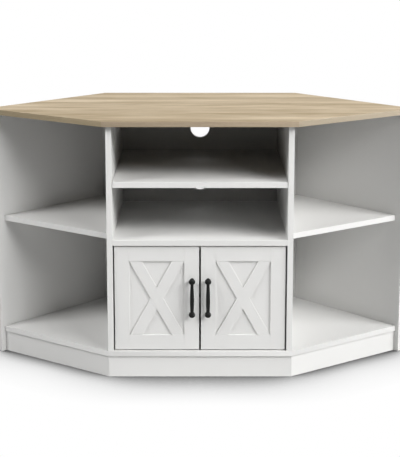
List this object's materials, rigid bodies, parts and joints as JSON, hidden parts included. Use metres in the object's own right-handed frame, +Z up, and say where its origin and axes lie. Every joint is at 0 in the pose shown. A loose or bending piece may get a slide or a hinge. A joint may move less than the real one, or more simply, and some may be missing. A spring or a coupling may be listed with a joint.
{
  "type": "corner tv cabinet",
  "caption": "Low corner media cabinet: oak-look top on white boards, open wings and bays, and X-braced doors on pivots below.",
  "frame": {"origin": "on the floor, under the middle of the whole object's box", "axes": "+Z up; +X to the right of a person who faces the doors; the doors face -Y and the corner of the room lies towards +Y"},
  "size_m": [1.1702, 0.525, 0.693],
  "materials": {
    "white_board": "satin white painted board",
    "oak_top": "light oak grain, matt",
    "black_handle": "satin black",
    "steel_fastener": "zinc plated",
    "nylon": "moulded white nylon",
    "magnet": "dull grey",
    "beech_block": "plain beech"
  },
  "bodies": {
    "cabinet": {"top_panel": "oak_top", "back_panel": "white_board", "base_board": "white_board", "middle_board": "white_board", "centre_shelf": "white_board", "kick_front": "white_board", "kick_rear": "white_board", "catch_housing": "nylon", "left_wall_panel": "white_board", "left_divider": "white_board", "left_wing_shelf": "white_board", "left_kick": "white_board", "left_kick_block": "beech_block", "left_catch_magnet": "magnet", "left_catch_screw": "steel_fastener", "left_front_shelf_pin": "steel_fastener", "left_rear_shelf_pin": "steel_fastener", "left_lower_back_screw": "steel_fastener", "left_upper_back_screw": "steel_fastener", "left_lower_bush": "nylon", "left_upper_bush": "nylon", "right_wall_panel": "white_board", "right_divider": "white_board", "right_wing_shelf": "white_board", "right_kick": "white_board", "right_kick_block": "beech_block", "right_catch_magnet": "magnet", "right_catch_screw": "steel_fastener", "right_front_shelf_pin": "steel_fastener", "right_rear_shelf_pin": "steel_fastener", "right_lower_back_screw": "steel_fastener", "right_upper_back_screw": "steel_fastener", "right_lower_bush": "nylon", "right_upper_bush": "nylon"},
    "left_door": {"left_door_core": "white_board", "left_door_hinge_stile": "white_board", "left_door_handle_stile": "white_board", "left_door_top_rail": "white_board", "left_door_bottom_rail": "white_board", "left_door_brace": "white_board", "left_handle": "black_handle", "left_strike_plate": "steel_fastener", "left_lower_handle_screw": "steel_fastener", "left_strike_screw": "steel_fastener", "left_upper_handle_screw": "steel_fastener", "left_lower_pivot_pin": "steel_fastener", "left_upper_pivot_pin": "steel_fastener"},
    "right_door": {"right_door_core": "white_board", "right_door_hinge_stile": "white_board", "right_door_handle_stile": "white_board", "right_door_top_rail": "white_board", "right_door_bottom_rail": "white_board", "right_door_brace": "white_board", "right_handle": "black_handle", "right_strike_plate": "steel_fastener", "right_lower_handle_screw": "steel_fastener", "right_strike_screw": "steel_fastener", "right_upper_handle_screw": "steel_fastener", "right_lower_pivot_pin": "steel_fastener", "right_upper_pivot_pin": "steel_fastener"}
  },
  "joints": [
    {"name": "left_door_pivot", "type": "hinge", "parent": "cabinet", "child": "left_door", "pos_m": [-0.211, -0.232, 0.0725], "axis": [0, 0, -1], "range_deg": [0, 110]},
    {"name": "right_door_pivot", "type": "hinge", "parent": "cabinet", "child": "right_door", "pos_m": [0.211, -0.232, 0.0725], "axis": [0, 0, 1], "range_deg": [0, 110]}
  ]
}
